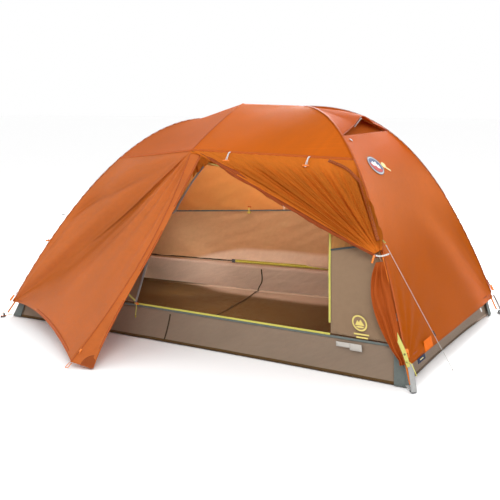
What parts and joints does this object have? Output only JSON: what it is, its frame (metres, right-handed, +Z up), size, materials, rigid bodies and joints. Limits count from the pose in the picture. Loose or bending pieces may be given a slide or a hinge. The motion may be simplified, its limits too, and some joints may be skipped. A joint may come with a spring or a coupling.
{
  "type": "tent on poles",
  "caption": "Free-standing backpacking tent on arched shock-corded poles, with a coated fly, a bathtub floor, side doors and vestibules, and a propped end vent.",
  "frame": {"origin": "on the ground, under the middle of the footprint", "axes": "+X along the sleeper towards the wider head end, -Y towards the open front vestibule, +Z up"},
  "size_m": [2.3948, 2.2324, 1.1095],
  "materials": {
    "fly_cloth": "coated ripstop nylon",
    "fly_roof_cloth": "coated ripstop nylon",
    "inner_cloth": "breathable ripstop and mesh",
    "floor_cloth": "coated nylon taffeta",
    "pole_metal": "orange anodised",
    "hub_plastic": "moulded",
    "webbing": "woven webbing",
    "orange_plastic": "moulded",
    "white_elastic": "braided elastic",
    "zip_tape": "zip tape and cord",
    "cord": "braided cord",
    "strut_plastic": "stiffened webbing"
  },
  "bodies": {
    "tent": {"spine_pole": "pole_metal", "cross_pole": "pole_metal", "centre_swivel": "hub_plastic", "leg_pole_front_right": "pole_metal", "pole_tip_front_right": "hub_plastic", "leg_pole_rear_right": "pole_metal", "pole_tip_rear_right": "hub_plastic", "leg_pole_front_left": "pole_metal", "pole_tip_front_left": "hub_plastic", "leg_pole_rear_left": "pole_metal", "pole_tip_rear_left": "hub_plastic", "hub_right": "hub_plastic", "hub_left": "hub_plastic", "fly_roof": "fly_roof_cloth", "fly_end_right": "fly_cloth", "fly_end_left": "fly_cloth", "vent_hood": "fly_cloth", "fly_side_rear_right": "fly_cloth", "fly_side_front_left": "fly_cloth", "fly_side_rear_left": "fly_cloth", "vestibule_gathered_front_right": "fly_cloth", "vestibule_roll_front_right": "fly_cloth", "vestibule_tail_front_right": "fly_cloth", "floor_tub": "floor_cloth", "inner_wall_front_right": "inner_cloth", "inner_wall_front_left": "inner_cloth", "inner_wall_rear": "inner_cloth", "inner_roof": "inner_cloth", "inner_end_right": "inner_cloth", "inner_end_left": "inner_cloth", "door_zip": "zip_tape", "inner_door_bundle": "inner_cloth", "corner_strap_front_right": "webbing", "fly_buckle_front_right": "orange_plastic", "corner_strap_rear_right": "webbing", "fly_buckle_rear_right": "orange_plastic", "corner_strap_front_left": "webbing", "fly_buckle_front_left": "orange_plastic", "corner_strap_rear_left": "webbing", "fly_buckle_rear_left": "orange_plastic", "tie_elastic": "white_elastic", "guy_cord": "cord", "guy_loop_right": "zip_tape", "guy_loop_left": "zip_tape"},
    "vent_strut": {"vent_strut": "strut_plastic"},
    "leaf_front_left": {"vestibule_leaf_front_left": "fly_cloth", "storm_flap": "fly_cloth", "stake_loop_front": "orange_plastic"},
    "leaf_rear_left": {"vestibule_leaf_rear_left": "fly_cloth", "stake_loop_rear": "orange_plastic"},
    "leaf_rear_right": {"vestibule_leaf_rear_right": "fly_cloth"},
    "brow_toggle_left": {"brow_toggle_left": "orange_plastic"},
    "brow_toggle_right": {"brow_toggle_right": "orange_plastic"},
    "leg_toggle_left": {"leg_toggle_left": "orange_plastic"},
    "tie_toggle": {"tie_toggle": "orange_plastic"},
    "guy_tensioner": {"guy_tensioner": "hub_plastic"},
    "door_zip_slider": {"door_zip_slider": "zip_tape"},
    "door_zip_pull": {"door_zip_pull": "zip_tape"},
    "vestibule_zip_slider": {"vestibule_zip_slider": "orange_plastic"},
    "interior_toggle": {"interior_toggle": "orange_plastic"}
  },
  "joints": [
    {"name": "vent_strut_fold", "type": "hinge", "parent": "tent", "child": "vent_strut", "pos_m": [0.639, 0, 1.047], "axis": [0, 1, 0], "range_deg": [0, 45]},
    {"name": "front_left_leaf_swing", "type": "hinge", "parent": "tent", "child": "leaf_front_left", "pos_m": [-1.11189, -0.54435, 0.08232], "axis": [-0.8016, -0.0478, -0.596], "range_deg": [0, 55]},
    {"name": "rear_left_leaf_swing", "type": "hinge", "parent": "tent", "child": "leaf_rear_left", "pos_m": [-1.11189, 0.54435, 0.08232], "axis": [0.8016, -0.0478, 0.596], "range_deg": [0, 45]},
    {"name": "rear_right_leaf_swing", "type": "hinge", "parent": "tent", "child": "leaf_rear_right", "pos_m": [1.11549, 0.66373, 0.11644], "axis": [0.8078, 0.1345, -0.5739], "range_deg": [0, 45]},
    {"name": "brow_toggle_left_swing", "type": "hinge", "parent": "tent", "child": "brow_toggle_left", "pos_m": [0.18863, -0.46658, 0.89806], "axis": [-1, 0, 0], "range_deg": [0, 60]},
    {"name": "brow_toggle_right_swing", "type": "hinge", "parent": "tent", "child": "brow_toggle_right", "pos_m": [0.55789, -0.40774, 0.88418], "axis": [-1, 0, 0], "range_deg": [0, 60]},
    {"name": "leg_toggle_swing", "type": "hinge", "parent": "tent", "child": "leg_toggle_left", "pos_m": [-0.93365, -0.43494, 0.44012], "axis": [-0.5291, 0.8486, 0], "range_deg": [0, 60]},
    {"name": "tie_toggle_swing", "type": "hinge", "parent": "tent", "child": "tie_toggle", "pos_m": [0.93944, -0.57763, 0.5119], "axis": [-1, 0, 0], "range_deg": [0, 50]},
    {"name": "guy_tensioner_slide", "type": "slide", "parent": "tent", "child": "guy_tensioner", "axis": [0.3921, 0.2803, -0.8762], "range_m": [-0.2, 0.12]},
    {"name": "door_zip_slide", "type": "slide", "parent": "tent", "child": "door_zip_slider", "axis": [0.9981, -0.0614, 0], "range_m": [0, 0.98]},
    {"name": "door_pull_swing", "type": "hinge", "parent": "door_zip_slider", "child": "door_zip_pull", "pos_m": [-0.28328, -0.56122, 0.164], "axis": [-1, 0, 0], "range_deg": [0, 70]},
    {"name": "vestibule_zip_slide", "type": "slide", "parent": "leaf_front_left", "child": "vestibule_zip_slider", "axis": [0.2011, 0.741, 0.6407], "range_m": [0, 0.12]},
    {"name": "interior_toggle_swing", "type": "hinge", "parent": "tent", "child": "interior_toggle", "pos_m": [-0.22804, 0.45866, 0.5165], "axis": [-1, 0, 0], "range_deg": [0, 60]}
  ]
}
